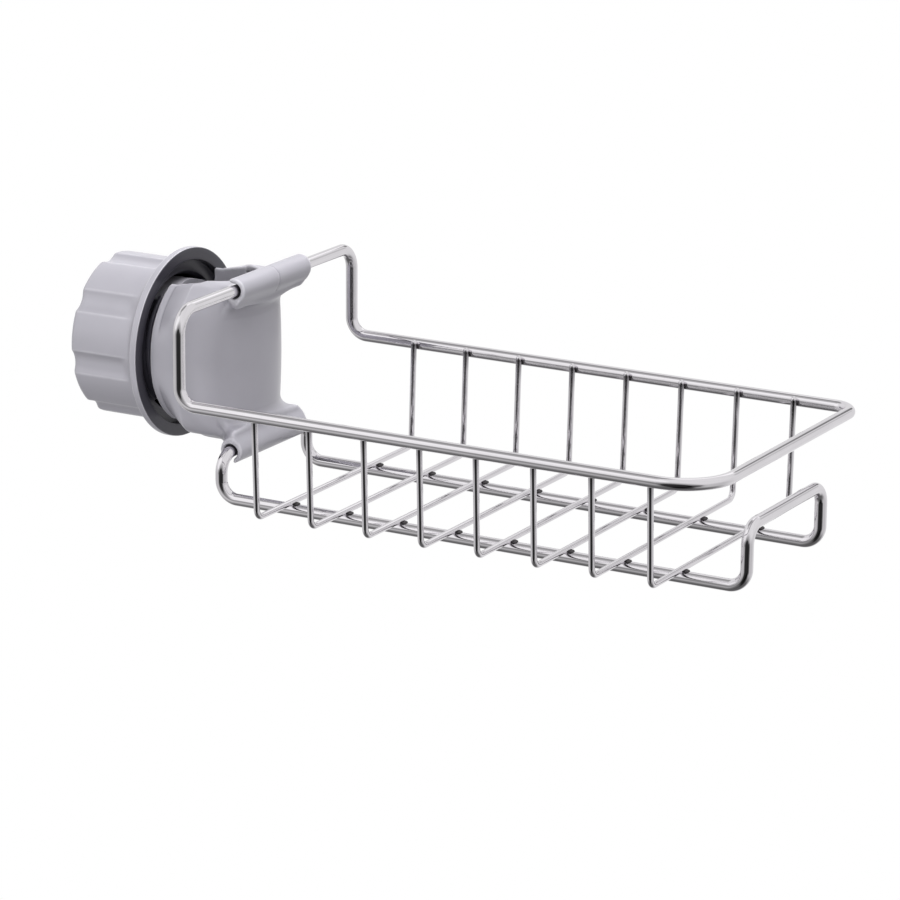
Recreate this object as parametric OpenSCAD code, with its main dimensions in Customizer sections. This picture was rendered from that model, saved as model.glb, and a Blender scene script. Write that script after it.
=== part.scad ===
// Sink drain rack: a chromed wire basket that clamps to the riser pipe of a tap.
// The origin is where the pipe axis crosses the knob axis. +Z runs up the pipe,
// +X runs along the basket, away from the pipe, and +Y lies across the basket.

/* [Pipe] */
// Diameter of the pipe that the clamp closes on
pipe_d = 25; // [22:0.5:28]

/* [Basket] */
// Length from the raised clamp end to the far end, wire centre to wire centre
basket_l = 186.6; // [150:0.5:240]
// Width between the two side rails, wire centre to wire centre
basket_w = 106.6; // [80:0.2:140]
// Depth from the side rails down to the cross wires of the floor, centre to centre
basket_d = 34.7; // [28:0.2:50]
// Height of the knob axis above the side rails
axis_rise = 4.8; // [2:0.2:8]
// How far the clamp end of the upper frame stands up above the side rails
upright_rise = 30.3; // [27:0.1:40]
// Diameter of the thick wire of both frames
frame_wire_d = 4; // [3:0.1:5]
// Diameter of the thin cross wires
cross_wire_d = 2; // [1.6:0.1:3]
// Distance from the clamp end to the first cross wire
first_gap = 26; // [18:0.5:34]
// Distance from the last cross wire to the far end
last_gap = 20.6; // [18:0.1:30]
// How far each side leg of a cross wire leans inward on its way down
leg_lean = 1.5; // [0:0.1:4]
// Height of the cut tip of a cross wire above the rail centre
tip_rise = 1.6; // [0.5:0.1:2.5]
// Depth to which two wires sink into each other where they are spot welded
weld_sink = 0.1; // [0.05:0.05:0.4]

/* [Lower frame] */
// Distance between the two runners, wire centre to wire centre
runner_w = 53; // [46:0.2:64]
// Rise of the towel bar at the far end above the runners
bar_rise = 19.4; // [14:0.1:24]
// Rise of the clamp end of the lower frame above the runners
lower_rise = 14; // [10:0.1:18]
// How far the lower sleeve stands behind the upper one
lower_setback = 1.6; // [0:0.1:3]
// How far the towel bar stands out beyond the far end of the upper frame
bar_lead = 0.8; // [0:0.1:3]

/* [Bends of the frame wire, on the wire centre] */
// Radius of the rim's corner at the end far from the pipe, on the -Y side
corner_r = 16.5; // [8:0.5:17]
// Radius of the same corner on the +Y side, which the photo shows tighter
plus_y_corner_r = 7; // [6:0.5:17]
// Foot of each upright, where the rail turns up
foot_r = 6; // [4:0.5:9]
// Top of each upright, where it turns across to the clamp
top_r = 7.5; // [4:0.5:10]
// Bends at both ends of the lower frame
loop_r = 6; // [4:0.2:6.2]
// Bottom corners of the thin cross wires
cross_r = 3; // [2:0.2:5]

/* [Clamp body] */
// Wall between the liner seat and the front of the body
front_wall = 4; // [3.5:0.1:8]
// Radius of the curved front, seen from above
front_r = 27.5; // [26:0.5:34]
// Radius of the round back end of the body, about the knob axis
shell_r = 26.5; // [24.5:0.1:29]
// Width of the front panel
panel_w = 52.4; // [51:0.2:56]
// Corner radius of the front panel
panel_corner_r = 11; // [6:1:14]
// How far the back shoulder of the body stands behind the pipe axis
shoulder_x = 11; // [8:0.1:11.5]
// Length of each sleeve that holds a frame
sleeve_l = 42; // [36:1:44]
// Wall of the sleeves
sleeve_wall = 1.7; // [1.4:0.1:2.5]
// Space all round the frame wire inside its sleeve
wire_clearance = 0.3; // [0.15:0.05:0.5]
// How far the upper sleeve axis lies behind the front of the body
sleeve_setback = 0.2; // [-1:0.1:2]
// How far the web behind a sleeve reaches down or up along the front panel
web_drop = 5; // [3:0.5:8]
// Part of the wire diameter that the snap slot of a sleeve leaves open
snap_share = 0.8; // [0.7:0.05:0.9]

/* [Rubber pads] */
// Thickness of the liner in the front jaw and of the pad on the shoe
liner_t = 2; // [1.5:0.25:3]
// Height of the liner in the front jaw
liner_h = 46; // [38:1:48]
// Half angle of the front jaw that the liner covers
liner_half_angle = 80; // [60:5:85]
// Height of the pad on the pressure shoe
shoe_pad_h = 28; // [18:1:30]
// Half angle of the pipe that the pad on the shoe covers
shoe_pad_half_angle = 35; // [25:5:40]
// Space round each rubber pad in its seat
pad_clearance = 0.1; // [0.05:0.05:0.2]

/* [Clamp screw] */
// Travel of the knob from this pipe size to the smallest pipe
tighten_travel = 4.5; // [3:0.5:5]
// Advance of the knob in one turn
thread_lead = 5; // [4.5:0.25:6]
// Height of the thread ridge above its root
thread_depth = 1.2; // [0.8:0.1:1.4]
// Space between the root of one thread and the crest of the other
thread_clearance = 0.4; // [0.3:0.05:0.6]
// Step from the back of the body down to the crest of its thread
shoulder_step = 3.7; // [2:0.1:5]

/* [Knob] */
// Length of the knob along its axis
knob_l = 28.9; // [27:0.2:36]
// Wall of the grip between the bore and the top of a lobe
grip_wall = 3.8; // [3.2:0.1:6]
// Number of lobes round the grip
lobes = 8; // [6:1:12]
// Depth of the flutes between the lobes
flute_depth = 1.5; // [0.8:0.1:1.8]
// How far the lobes are turned about the axis at rest
lobe_turn = 12.5; // [-22.5:0.5:22.5]
// Radius of the hollow of a flute
flute_r = 7; // [5:0.5:10]
// Space between the mouth of the knob and the back of the body
mouth_clearance = 0.8; // [0.4:0.1:1.5]
// Width of the rim round the mouth
rim_w = 4.3; // [2.5:0.1:5]
// Thickness of the rim
rim_t = 2.5; // [2:0.1:4]
// Length of the flare from the grip out to the rim
flare_l = 2.5; // [1:0.1:4]
// Space between the rim and the pipe
rim_pipe_gap = 0.4; // [0.3:0.1:1]
// Thickness of the closed end of the knob
knob_floor = 3; // [2:0.5:4]
// Rounding of the edge at the closed end
knob_edge_r = 1.5; // [0.5:0.25:2]

/* [Pressure shoe] */
// Thickness of the plate behind the pad
shoe_plate_t = 8; // [6:0.5:10]
// Radius of the pin that the knob turns on
pin_r = 4.7; // [3.5:0.1:6]
// How much the snap head of the pin stands out
snap_lip = 0.8; // [0.5:0.1:1.2]
// Wall of the boss in the knob that takes the pin
boss_wall = 3.5; // [2.5:0.5:5]
// Length of the boss inside the knob
boss_l = 12.5; // [10:0.5:14]
// Space between the shoe and the pieces that it slides or turns on
shoe_clearance = 0.3; // [0.2:0.05:0.5]

/* [Hidden] */
$fn = 64;
overcut = 1;
hull_inset = 0.2;

pipe_r = pipe_d / 2;
slot_r = pipe_r + 0.5;
liner_seat_r = pipe_r + liner_t;
front_x = liner_seat_r + front_wall;
frame_r = frame_wire_d / 2;
cross_wire_r = cross_wire_d / 2;
weld_offset = frame_r + cross_wire_r - weld_sink;

// Upper frame
rail_z = -axis_rise;
clamp_end_x = front_x - sleeve_setback;
far_end_x = clamp_end_x + basket_l;
bar_x = far_end_x + bar_lead;
upper_sleeve_z = rail_z + upright_rise;

// Cross wires
wire_count = 8;
wire_pitch = (basket_l - first_gap - last_gap) / (wire_count - 1);
bend_lap = 0.05;
bend_swell = 0.02;
floor_z = rail_z - basket_d;
tip_y = basket_w / 2 - weld_offset;
floor_y = tip_y - leg_lean;

// Lower frame
runner_z = floor_z - weld_offset;
lower_sleeve_x = clamp_end_x - lower_setback;
lower_sleeve_z = runner_z + lower_rise;

// Mouth of the knob. The round back end of the body is as long as the mouth
// travels over it
knob_front_x = -(pipe_r + rim_pipe_gap);
shoulder_l = knob_front_x + tighten_travel + shoulder_x + shoe_clearance;

// Clamp body
sleeve_bore_r = frame_r + wire_clearance;
sleeve_r = sleeve_bore_r + sleeve_wall;
panel_top_z = max(upper_sleeve_z - sleeve_r + 2, shell_r - 2);
panel_bottom_z = min(lower_sleeve_z + sleeve_r - 1, 1 - shell_r);
front_centre_x = front_x - front_r;
web_w = sleeve_l - 14;
web_reach = 14;

// Clamp screw. The arms end just short of the knob's floor when it is tight
arm_end_x = knob_front_x - knob_l + knob_floor + tighten_travel + 0.5;
crest_r = shell_r - shoulder_step;
core_r = crest_r - thread_depth;
bore_r = crest_r + thread_clearance;
inner_crest_r = core_r + thread_clearance;
thread_root_w = thread_lead * 0.46;
thread_crest_w = thread_lead * 0.24;
thread_embed = 0.3;
thread_start_x = arm_end_x + thread_root_w;
arm_half_angle = acos(slot_r / core_r) - 5;
arm_turns = (-shoulder_x - thread_root_w - thread_start_x) / thread_lead;

// Knob
knob_back_x = knob_front_x - knob_l;
knob_floor_x = knob_back_x + knob_floor;
grip_r = bore_r + grip_wall;
mouth_r = shell_r + mouth_clearance;
mouth_depth = shoulder_l;
knob_turns = (knob_front_x - mouth_depth - thread_root_w - thread_start_x) / thread_lead;
rim_r = mouth_r + rim_w;

// Pressure shoe
shoe_front_x = -(pipe_r - 0.5);
shoe_back_x = shoe_front_x - shoe_plate_t;
shoe_r = inner_crest_r - 1;
pin_bore_r = pin_r + shoe_clearance;
boss_r = pin_bore_r + snap_lip + boss_wall;
boss_end_x = knob_floor_x + boss_l;
pin_neck_x = knob_floor_x + 4.5;

function unit(v) = v / norm(v);

// Distance from a corner to the start of its bend
function bend_reach(back, ahead, r) = r * sqrt((1 + back * ahead) / (1 - back * ahead));

// A straight piece of round wire
module rod(from, to, r) {
    along = to - from;
    yaw = atan2(along.y, along.x);
    pitch = acos(along.z / norm(along));
    translate(from) rotate([0, pitch, yaw]) cylinder(h = norm(along), r = r);
}

// A round bend at a corner. back and ahead point along the two straight pieces
module bend(corner, back, ahead, bend_r, r) {
    start = corner + back * bend_reach(back, ahead, bend_r);
    middle = unit(back + ahead);
    centre = corner + middle * bend_r * sqrt(2 / (1 - back * ahead));
    across = unit(start - centre);
    up = cross(across, -back);
    turn = 180 - acos(back * ahead);
    multmatrix([[across.x, -back.x, up.x, centre.x],
                [across.y, -back.y, up.y, centre.y],
                [across.z, -back.z, up.z, centre.z]])
        rotate_extrude(angle = turn) translate([bend_r, 0]) circle(r = r);
}

// A closed loop of round wire through a list of [corner, bend radius]
module wire_loop(route, r) {
    n = len(route);
    function at(i) = route[(i + n) % n][0];
    function bend_at(i) = route[(i + n) % n][1];
    function toward(i, j) = unit(at(j) - at(i));
    function reach(i) = bend_reach(toward(i, i - 1), toward(i, i + 1), bend_at(i));
    for (i = [0 : n - 1]) {
        rod(at(i) + toward(i, i + 1) * reach(i),
            at(i + 1) + toward(i + 1, i) * reach(i + 1), r);
        bend(at(i), toward(i, i - 1), toward(i, i + 1), bend_at(i), r);
    }
}

// An open wire that sets off along +Z. After each straight run it turns toward
// +X. runs is a list of [straight length, turn after it]. Each run reaches a
// little way into its bends, which are a trace thicker
module wire_run(runs, bend_r, r, first = 0) {
    length = runs[first][0];
    turn = runs[first][1];
    before = first > 0 ? bend_lap : 0;
    after = first + 1 < len(runs) ? bend_lap : 0;
    translate([0, 0, -before]) cylinder(h = before + length + after, r = r);
    if (first + 1 < len(runs))
        translate([bend_r, 0, length]) {
            rotate([90, 0, 180]) rotate_extrude(angle = turn)
                translate([bend_r, 0]) circle(r = r + bend_swell);
            rotate([0, turn, 0]) translate([-bend_r, 0, 0]) wire_run(runs, bend_r, r, first + 1);
        }
}

// A ridge of the thread, from one angle about the X axis to another. It starts
// at start_x for angle 0, its base lies in the wall that carries it, and it
// sinks into that wall at both ends
module thread_ridge(base_r, tip_r, start_x, from_a, to_a) {
    steps = ceil((to_a - from_a) / 15);
    facing = tip_r < base_r ? 1 : -1;
    points = [for (i = [0 : steps])
              let (a = from_a + (to_a - from_a) * i / steps,
                   x = start_x + thread_lead * a / 360,
                   buried = i == 0 || i == steps,
                   top_r = buried ? base_r + (tip_r - base_r) * 0.1 : tip_r)
              for (p = [[base_r, -thread_root_w / 2], [base_r, thread_root_w / 2],
                        [top_r, thread_crest_w / 2], [top_r, -thread_crest_w / 2]])
              [x + facing * p[1], p[0] * cos(a), p[0] * sin(a)]];
    sides = [for (i = [0 : steps - 1], k = [0 : 3])
             let (a = 4 * i + k, b = 4 * i + (k + 1) % 4) each [[a, b, b + 4], [a, b + 4, a + 4]]];
    ends = [[3, 2, 1, 0], [for (k = [0 : 3]) 4 * steps + k]];
    polyhedron(points, concat(sides, ends));
}

// The vertical passage that lets the pipe in from the back
module pipe_passage() {
    height = 2 * (shell_r + sleeve_l);
    translate([0, 0, -height / 2]) cylinder(h = height, r = slot_r);
    translate([arm_end_x - overcut, -slot_r, -height / 2])
        cube([-arm_end_x + overcut, 2 * slot_r, height]);
}

// A curved pad round the pipe axis, centred on the angle about
module curved_pad(inner_r, outer_r, height, half_angle, about) {
    rotate(about - half_angle) translate([0, 0, -height / 2])
        rotate_extrude(angle = 2 * half_angle)
            translate([inner_r, 0]) square([outer_r - inner_r, height]);
}

// Sleeve on a wire axis, with the web that carries it down to the body
module sleeve(x, z, inward) {
    translate([x, sleeve_l / 2, z]) rotate([90, 0, 0]) cylinder(h = sleeve_l, r = sleeve_r);
    hull() {
        translate([x, sleeve_l / 2 - 1, z]) rotate([90, 0, 0])
            cylinder(h = sleeve_l - 2, r = sleeve_r - 0.1, $fn = 32);
        translate([x - web_reach, -web_w / 2, z + min(0, inward * web_drop)])
            cube([web_reach - sleeve_r, web_w, web_drop]);
    }
}

// Bore of a sleeve and the slot at its back that the wire snaps in through
module sleeve_bore(x, z, slot_angle) {
    translate([x, sleeve_l, z]) rotate([90, 0, 0]) cylinder(h = 2 * sleeve_l, r = sleeve_bore_r);
    slot_w = frame_wire_d * snap_share;
    translate([x, -sleeve_l, z]) rotate([0, -slot_angle, 0])
        translate([0, 0, -slot_w / 2]) cube([2 * sleeve_r + overcut, 2 * sleeve_l, slot_w]);
}

// Rounded front panel that flows back into the round end of the body
module shell() {
    panel_h = panel_top_z - panel_bottom_z;
    intersection() {
        union() {
            translate([-shoulder_x, 0, 0]) rotate([0, 90, 0])
                cylinder(h = shoulder_l + hull_inset, r = shell_r);
            hull() {
                translate([shoulder_l - shoulder_x, 0, 0]) rotate([0, 90, 0])
                    cylinder(h = hull_inset, r = shell_r - hull_inset, $fn = 64);
                for (y = [-1, 1], z = [panel_bottom_z + panel_corner_r, panel_top_z - panel_corner_r])
                    translate([0, y * (panel_w / 2 - panel_corner_r), z]) rotate([0, 90, 0])
                        cylinder(h = front_x, r = panel_corner_r, $fn = 32);
            }
        }
        translate([front_centre_x, 0, panel_bottom_z - panel_h])
            cylinder(h = 3 * panel_h, r = front_r, $fn = 96);
    }
}

module clamp_body() {
    color("#A9ABB2") difference() {
        union() {
            shell();
            sleeve(clamp_end_x, upper_sleeve_z, -1);
            sleeve(lower_sleeve_x, lower_sleeve_z, 1);
            translate([arm_end_x, 0, 0]) rotate([0, 90, 0])
                cylinder(h = -arm_end_x - shoulder_x + overcut, r = core_r);
            for (half_turn = [0 : 2 * floor(arm_turns)])
                thread_ridge(core_r - thread_embed, crest_r, thread_start_x,
                             180 * half_turn - arm_half_angle, 180 * half_turn + arm_half_angle);
        }
        pipe_passage();
        curved_pad(slot_r - overcut, liner_seat_r, liner_h + 2 * pad_clearance,
                   liner_half_angle + 1, 0);
        sleeve_bore(clamp_end_x, upper_sleeve_z, 150);
        sleeve_bore(lower_sleeve_x, lower_sleeve_z, 255);
    }
}

module jaw_liner() {
    color("#3A3B3F")
        curved_pad(pipe_r, liner_seat_r - pad_clearance, liner_h, liner_half_angle, 0);
}

module pressure_shoe() {
    color("#A9ABB2") difference() {
        union() {
            intersection() {
                translate([shoe_back_x, 0, 0]) rotate([0, 90, 0])
                    cylinder(h = shoe_plate_t, r = shoe_r);
                translate([shoe_back_x - overcut, shoe_clearance - slot_r, -shoe_r])
                    cube([shoe_plate_t + 2 * overcut, 2 * (slot_r - shoe_clearance), 2 * shoe_r]);
            }
            translate([boss_end_x + shoe_clearance, 0, 0]) rotate([0, 90, 0])
                cylinder(h = shoe_back_x - boss_end_x - shoe_clearance + overcut, r = boss_r);
            translate([knob_floor_x + shoe_clearance, 0, 0]) rotate([0, 90, 0])
                cylinder(h = boss_l, r = pin_r);
            translate([knob_floor_x + shoe_clearance, 0, 0]) rotate([0, 90, 0])
                cylinder(h = pin_neck_x - knob_floor_x - 2 * shoe_clearance, r1 = pin_r - snap_lip,
                         r2 = pin_r + snap_lip);
        }
        curved_pad(pipe_r - 1, liner_seat_r, shoe_pad_h + 2 * pad_clearance,
                   shoe_pad_half_angle + 1, 180);
        translate([0, 0, -shoe_r - overcut]) cylinder(h = 2 * (shoe_r + overcut), r = slot_r);
    }
}

module shoe_pad() {
    color("#3A3B3F")
        curved_pad(pipe_r, liner_seat_r - pad_clearance, shoe_pad_h, shoe_pad_half_angle, 180);
}

// The grip along +Z: a turned body with a hollow flute between each two lobes
module grip() {
    difference() {
        rotate_extrude() rounded_end(grip_r, knob_l - rim_t, knob_edge_r);
        for (i = [0 : lobes - 1])
            rotate((i + 0.5) * 360 / lobes - lobe_turn)
                translate([grip_r + flute_r - flute_depth, 0, -overcut])
                    cylinder(h = knob_l, r = flute_r);
    }
}

module clamp_knob() {
    color("#9C9EA6") difference() {
        union() {
            translate([knob_back_x, 0, 0]) rotate([0, 90, 0]) grip();
            translate([knob_front_x - rim_t, 0, 0]) rotate([0, 90, 0]) {
                cylinder(h = rim_t, r = rim_r);
                translate([0, 0, -flare_l])
                    cylinder(h = flare_l, r1 = grip_r - flute_depth - 0.3, r2 = rim_r - 1);
            }
        }
        translate([knob_floor_x, 0, 0]) rotate([0, 90, 0]) cylinder(h = knob_l, r = bore_r);
        translate([knob_front_x - mouth_depth, 0, 0]) rotate([0, 90, 0])
            cylinder(h = mouth_depth + overcut, r = mouth_r);
    }
    color("#9C9EA6") difference() {
        translate([knob_floor_x - overcut, 0, 0]) rotate([0, 90, 0])
            cylinder(h = boss_l + overcut, r = boss_r);
        translate([knob_floor_x, 0, 0]) rotate([0, 90, 0])
            cylinder(h = boss_l + overcut, r = pin_bore_r);
        translate([knob_floor_x, 0, 0]) rotate([0, 90, 0])
            cylinder(h = pin_neck_x - knob_floor_x, r = pin_bore_r + snap_lip);
    }
    color("#9C9EA6")
        thread_ridge(bore_r + thread_embed, inner_crest_r, thread_start_x + thread_lead / 2,
                     0, 360 * (knob_turns - 0.5));
}

// Profile of the grip for turning about the axis, with its far edge rounded
module rounded_end(r, length, edge_r) {
    translate([0, edge_r]) square([r, length - edge_r]);
    square([r - edge_r, length]);
    translate([r - edge_r, edge_r]) circle(r = edge_r);
}

module upper_frame() {
    half_w = basket_w / 2;
    route = [for (side = [-1, 1])
             each let (corners = [[[clamp_end_x, side * half_w, upper_sleeve_z], top_r],
                                  [[clamp_end_x, side * half_w, rail_z], foot_r],
                                  [[far_end_x, side * half_w, rail_z],
                                   side < 0 ? corner_r : plus_y_corner_r]])
             side < 0 ? corners : [corners[2], corners[1], corners[0]]];
    color("#D5D7DA") wire_loop(route, frame_r);
}

module lower_frame() {
    half_w = runner_w / 2;
    bar_z = runner_z + bar_rise;
    route = [for (side = [-1, 1])
             each let (corners = [[[lower_sleeve_x, side * half_w, lower_sleeve_z], loop_r],
                                  [[lower_sleeve_x, side * half_w, runner_z], loop_r],
                                  [[bar_x, side * half_w, runner_z], loop_r],
                                  [[bar_x, side * half_w, bar_z], loop_r]])
             side < 0 ? corners : [corners[3], corners[2], corners[1], corners[0]]];
    color("#D5D7DA") wire_loop(route, frame_r);
}

// One thin U of the basket. Its legs lean in toward the floor
module cross_wire(index) {
    leg_h = rail_z + tip_rise - floor_z;
    lean = atan(leg_lean / leg_h);
    reach = cross_r * tan((90 - lean) / 2);
    leg = [norm([leg_lean, leg_h]) - reach, 90 - lean];
    floor_run = [2 * (floor_y - reach), 90 - lean];
    color("#D5D7DA")
        translate([clamp_end_x + first_gap + (index - 1) * wire_pitch, -tip_y, rail_z + tip_rise])
            rotate([180, 0, 90]) rotate([0, lean, 0])
                wire_run([leg, floor_run, leg], cross_r, cross_wire_r);
}

clamp_body();
jaw_liner();
pressure_shoe();
shoe_pad();
clamp_knob();
upper_frame();
lower_frame();
for (i = [1 : wire_count])
    cross_wire(i);
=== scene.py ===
import math

import bpy
import numpy as np
from mathutils import Matrix, Vector


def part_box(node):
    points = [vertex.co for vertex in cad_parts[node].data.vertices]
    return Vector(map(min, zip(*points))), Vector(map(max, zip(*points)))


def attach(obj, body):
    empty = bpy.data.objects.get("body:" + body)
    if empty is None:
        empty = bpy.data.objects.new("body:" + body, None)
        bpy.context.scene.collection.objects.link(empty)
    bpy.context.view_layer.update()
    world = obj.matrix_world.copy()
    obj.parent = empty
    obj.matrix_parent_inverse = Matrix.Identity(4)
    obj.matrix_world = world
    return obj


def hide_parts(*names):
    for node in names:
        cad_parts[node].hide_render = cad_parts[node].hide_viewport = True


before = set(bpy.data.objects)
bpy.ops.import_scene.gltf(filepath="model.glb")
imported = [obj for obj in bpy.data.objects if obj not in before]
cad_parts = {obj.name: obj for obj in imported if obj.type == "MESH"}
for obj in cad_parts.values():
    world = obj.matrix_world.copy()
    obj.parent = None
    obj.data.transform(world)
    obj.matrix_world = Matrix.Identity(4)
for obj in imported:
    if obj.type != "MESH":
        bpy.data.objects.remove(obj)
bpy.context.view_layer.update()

MM = 0.001


def corners(node):
    """Lowest and highest corner of a CAD node, as arrays in millimetres."""
    low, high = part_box(node)
    return np.array(low) / MM, np.array(high) / MM


# Sizes are in millimetres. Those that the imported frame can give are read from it
upper_low, upper_high = corners("upper_frame")
lower_low, lower_high = corners("lower_frame")
body_low, body_high = corners("clamp_body")
knob_low, knob_high = corners("clamp_knob")
liner_low, liner_high = corners("jaw_liner")
pad_low, pad_high = corners("shoe_pad")

# Frame wires: their radius, where their centre lines run, and their bends
FRAME_WIRE_R = 2.0
CLAMP_END_X, RAIL_Z = upper_low[0] + FRAME_WIRE_R, upper_low[2] + FRAME_WIRE_R
FAR_END_X, RAIL_Y, UPPER_SLEEVE_Z = upper_high - FRAME_WIRE_R
LOWER_SLEEVE_X, RUNNER_Z = lower_low[0] + FRAME_WIRE_R, lower_low[2] + FRAME_WIRE_R
BAR_X, RUNNER_Y, BAR_Z = lower_high - FRAME_WIRE_R
LOWER_RISE = 14.0
LOWER_SLEEVE_Z = RUNNER_Z + LOWER_RISE
CORNER_R, PLUS_Y_CORNER_R, FOOT_R, TOP_R, LOOP_R = 16.5, 7.0, 6.0, 7.5, 6.0

# Cross wires: their bend, how far their legs lean in, how much lower their tips
# end than the solid's on the -Y and on the +Y side, where the rings of a tip's
# dome stand, and the share of the squared radius that the dome loses at its end
CROSS_WIRES = range(1, 9)
CROSS_WIRE_R, CROSS_R, LEG_LEAN, TIP_TRIM = 1.0, 3.0, 1.5, (0.8, -0.2)
DOME, DOME_LOSS = (0, 0.08, 0.3, 0.6, 1.0), 0.85

# Painted shade on a leg near the rail it meets, by the distance from its tip:
# where each mark starts and where it is full. The long one fades down the leg,
# and the tip itself is left unshaded
LONG_SHADE, SHORT_SHADE, BRIGHT_TIP = (10, 1), (2.5, 1.5), (0.9, 1.6)

# Weld beads: their half sizes and places. A rail's bead stands off beside the
# leg, proud of its outer side and a drop below the rail's axis. A runner's bead
# stands off beside the cross wire, a lift above its underside, and the one away
# from the clamp is larger than the mean by the skew, the other smaller
RAIL_BEAD, RAIL_BEAD_OFF, RAIL_BEAD_PROUD, RAIL_BEAD_DROP = (0.6, 0.4, 0.85), 0.85, 0.05, 0.5
RUNNER_BEAD, RUNNER_BEAD_OFF, RUNNER_BEAD_LIFT, RUNNER_BEAD_SKEW = (0.85, 1.15, 0.5), 0.8, 0.1, 0.2

# Clamp body: its round end with the shoulder behind it, and its front panel,
# which is crowned, rounded below and bevelled above
SHELL_R, SHOULDER_X, SHOULDER_L = 26.5, 11.0, 2.9
FRONT_X, FRONT_R, FRONT_CROWN, FRONT_EDGE = 18.5, 27.5, 1.0, 3.0
PANEL_HALF_W, PANEL_CORNER_R, BEVEL_AT, BEVEL_CORNER_R = 26.2, 11.0, 29.4, 3.0

# The clamp's upright passage: the radius that its pads close on, its own, and
# the seat of the liner, whose half angle is in degrees
CLAMP_R, PASSAGE_R = 12.5, 13.0
SEAT_R, SEAT_HALF_H, SEAT_HALF_ANGLE = 14.5, 23.1, 81

# Sleeves, the webs that carry them, and the seam round the upper one
SLEEVE_R, SLEEVE_BORE_R, SLEEVE_HALF_L, SLEEVE_FILLET = 4.0, 2.3, 21.0, 3.0
BORE_FLARE, BORE_FLARE_L, SNAP_SLOT_HALF_W = 0.25, 1.2, 1.6
WEB_T, WEB_L, WEB_HALF_W, WEB_FLARE, WEB_FLARE_L, WEB_FILLET = 5.0, 14, 13, 7.5, 9, 5.0
SEAM_Y, SEAM_W, SEAM_DEPTH = 1.3, 0.4, 0.17
# Each sleeve's axis in x and z, its web's lowest and highest height over that
# axis, and the direction of its snap slot in degrees
SLEEVES = ((CLAMP_END_X, UPPER_SLEEVE_Z, -1.4 - WEB_T, -1.4, 150),
           (LOWER_SLEEVE_X, LOWER_SLEEVE_Z, 1.6, 1.6 + WEB_T, 255))

# Thread of the arms and of the knob
LEAD, CREST_R, CORE_R, THREAD_START_X = 5.0, 22.8, 21.6, -31.5
RIDGE_ROOT_W, RIDGE_CREST_W = 2.3, 1.2

# Knob: its lobed grip, the flare and the rim, the mouth and the threaded bore,
# the dished back, and the boss that holds the shoe's snap pin
GRIP_R, LOBES, FLUTE_DEPTH, FLUTE_R, LOBE_TURN, LOBED_FROM_R = 27.0, 8, 1.5, 7.0, 12.5, 21.5
RIM_R, RIM_T, FLARE_L, MOUTH_R, BORE_R = knob_high[2], 2.5, 2.5, 27.3, 23.2
DISH_DEPTH, DISH_R, DISH_RIM_R, BACK_T = 0.7, 19, 20.2, 3.0
BOSS_R, BOSS_L, PIN_BORE_R, SNAP_R, SNAP_L = 9.3, 12.5, 5.0, 5.8, 4.5
KNOB_BACK, KNOB_FRONT = knob_low[0], knob_high[0]
KNOB_FLOOR, RECESS_X, RIM_BACK = KNOB_BACK + BACK_T, KNOB_FRONT - SHOULDER_L, KNOB_FRONT - RIM_T
FLARE_BACK = RIM_BACK - FLARE_L

# Rubber pads
PAD_EDGE, RIB_PITCH, RIB_DEPTH = 0.5, 2.4, 0.35


# Mesh helpers

def smooth_step(low, high, value):
    """0 below low, 1 above high, and 3t^2 - 2t^3 between them."""
    t = np.clip((value - low) / (high - low), 0, 1)
    return t * t * (3 - 2 * t)


def soft_min(a, b, k):
    """The lower of two fields, with a fillet of about k where they meet:
    b + (a - b)h - k h(1 - h), where h runs from 0 to 1 as a falls below b."""
    h = np.clip(0.5 + 0.5 * (b - a) / k, 0, 1)
    return b + (a - b) * h - k * h * (1 - h)


def soft_max(a, b, k):
    """The higher of two fields, with an edge rounded by about k."""
    return -soft_min(-a, -b, k)


def new_object(name, points, faces):
    """An object at the origin, from points in metres and a list of arrays of
    faces."""
    mesh = bpy.data.meshes.new(name)
    mesh.from_pydata(points, [], [face for part in faces for face in part.tolist()])
    obj = bpy.data.objects.new(name, mesh)
    bpy.context.scene.collection.objects.link(obj)
    return obj


def make_object(name, points, faces, uv=None, attributes=None):
    """A smooth-shaded object from points in millimetres. uv holds one pair for
    each corner of each face, and attributes one number for each point."""
    obj = new_object(name, np.asarray(points) * MM, faces)
    mesh = obj.data
    if uv is not None:
        layer = mesh.uv_layers.new(name="along")
        layer.data.foreach_set("uv", np.asarray(uv, np.float32).ravel())
    for key, values in (attributes or {}).items():
        attribute = mesh.attributes.new(key, "FLOAT", "POINT")
        attribute.data.foreach_set("value", np.asarray(values, np.float32))
    mesh.polygons.foreach_set("use_smooth", np.ones(len(mesh.polygons), bool))
    mesh.validate()
    return obj


def grid_faces(rows, columns, wrap_rows=False):
    """Four-sided faces over a grid of points numbered row by row. Its columns
    always run round, and its rows do where asked."""
    i = np.arange(rows if wrap_rows else rows - 1)[:, None]
    j = np.arange(columns)[None, :]
    i2, j2 = (i + 1) % rows, (j + 1) % columns
    quads = [i * columns + j, i * columns + j2, i2 * columns + j2, i2 * columns + j]
    return np.stack(quads, -1).reshape(-1, 4)


def closing_fans(rows, columns):
    """Triangles that close both ends of such a grid, from a middle point to each
    side of its first and of its last ring. The two middle points are numbered
    after the grid's own."""
    j = np.arange(columns)
    k = (j + 1) % columns
    last, middle = (rows - 1) * columns, np.full(columns, rows * columns)
    return [np.stack([middle, k, j], 1), np.stack([middle + 1, last + j, last + k], 1)]


def closed_faces(rows, columns):
    """All faces of a grid whose columns run round and whose ends are closed."""
    return [grid_faces(rows, columns), *closing_fans(rows, columns)]


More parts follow.
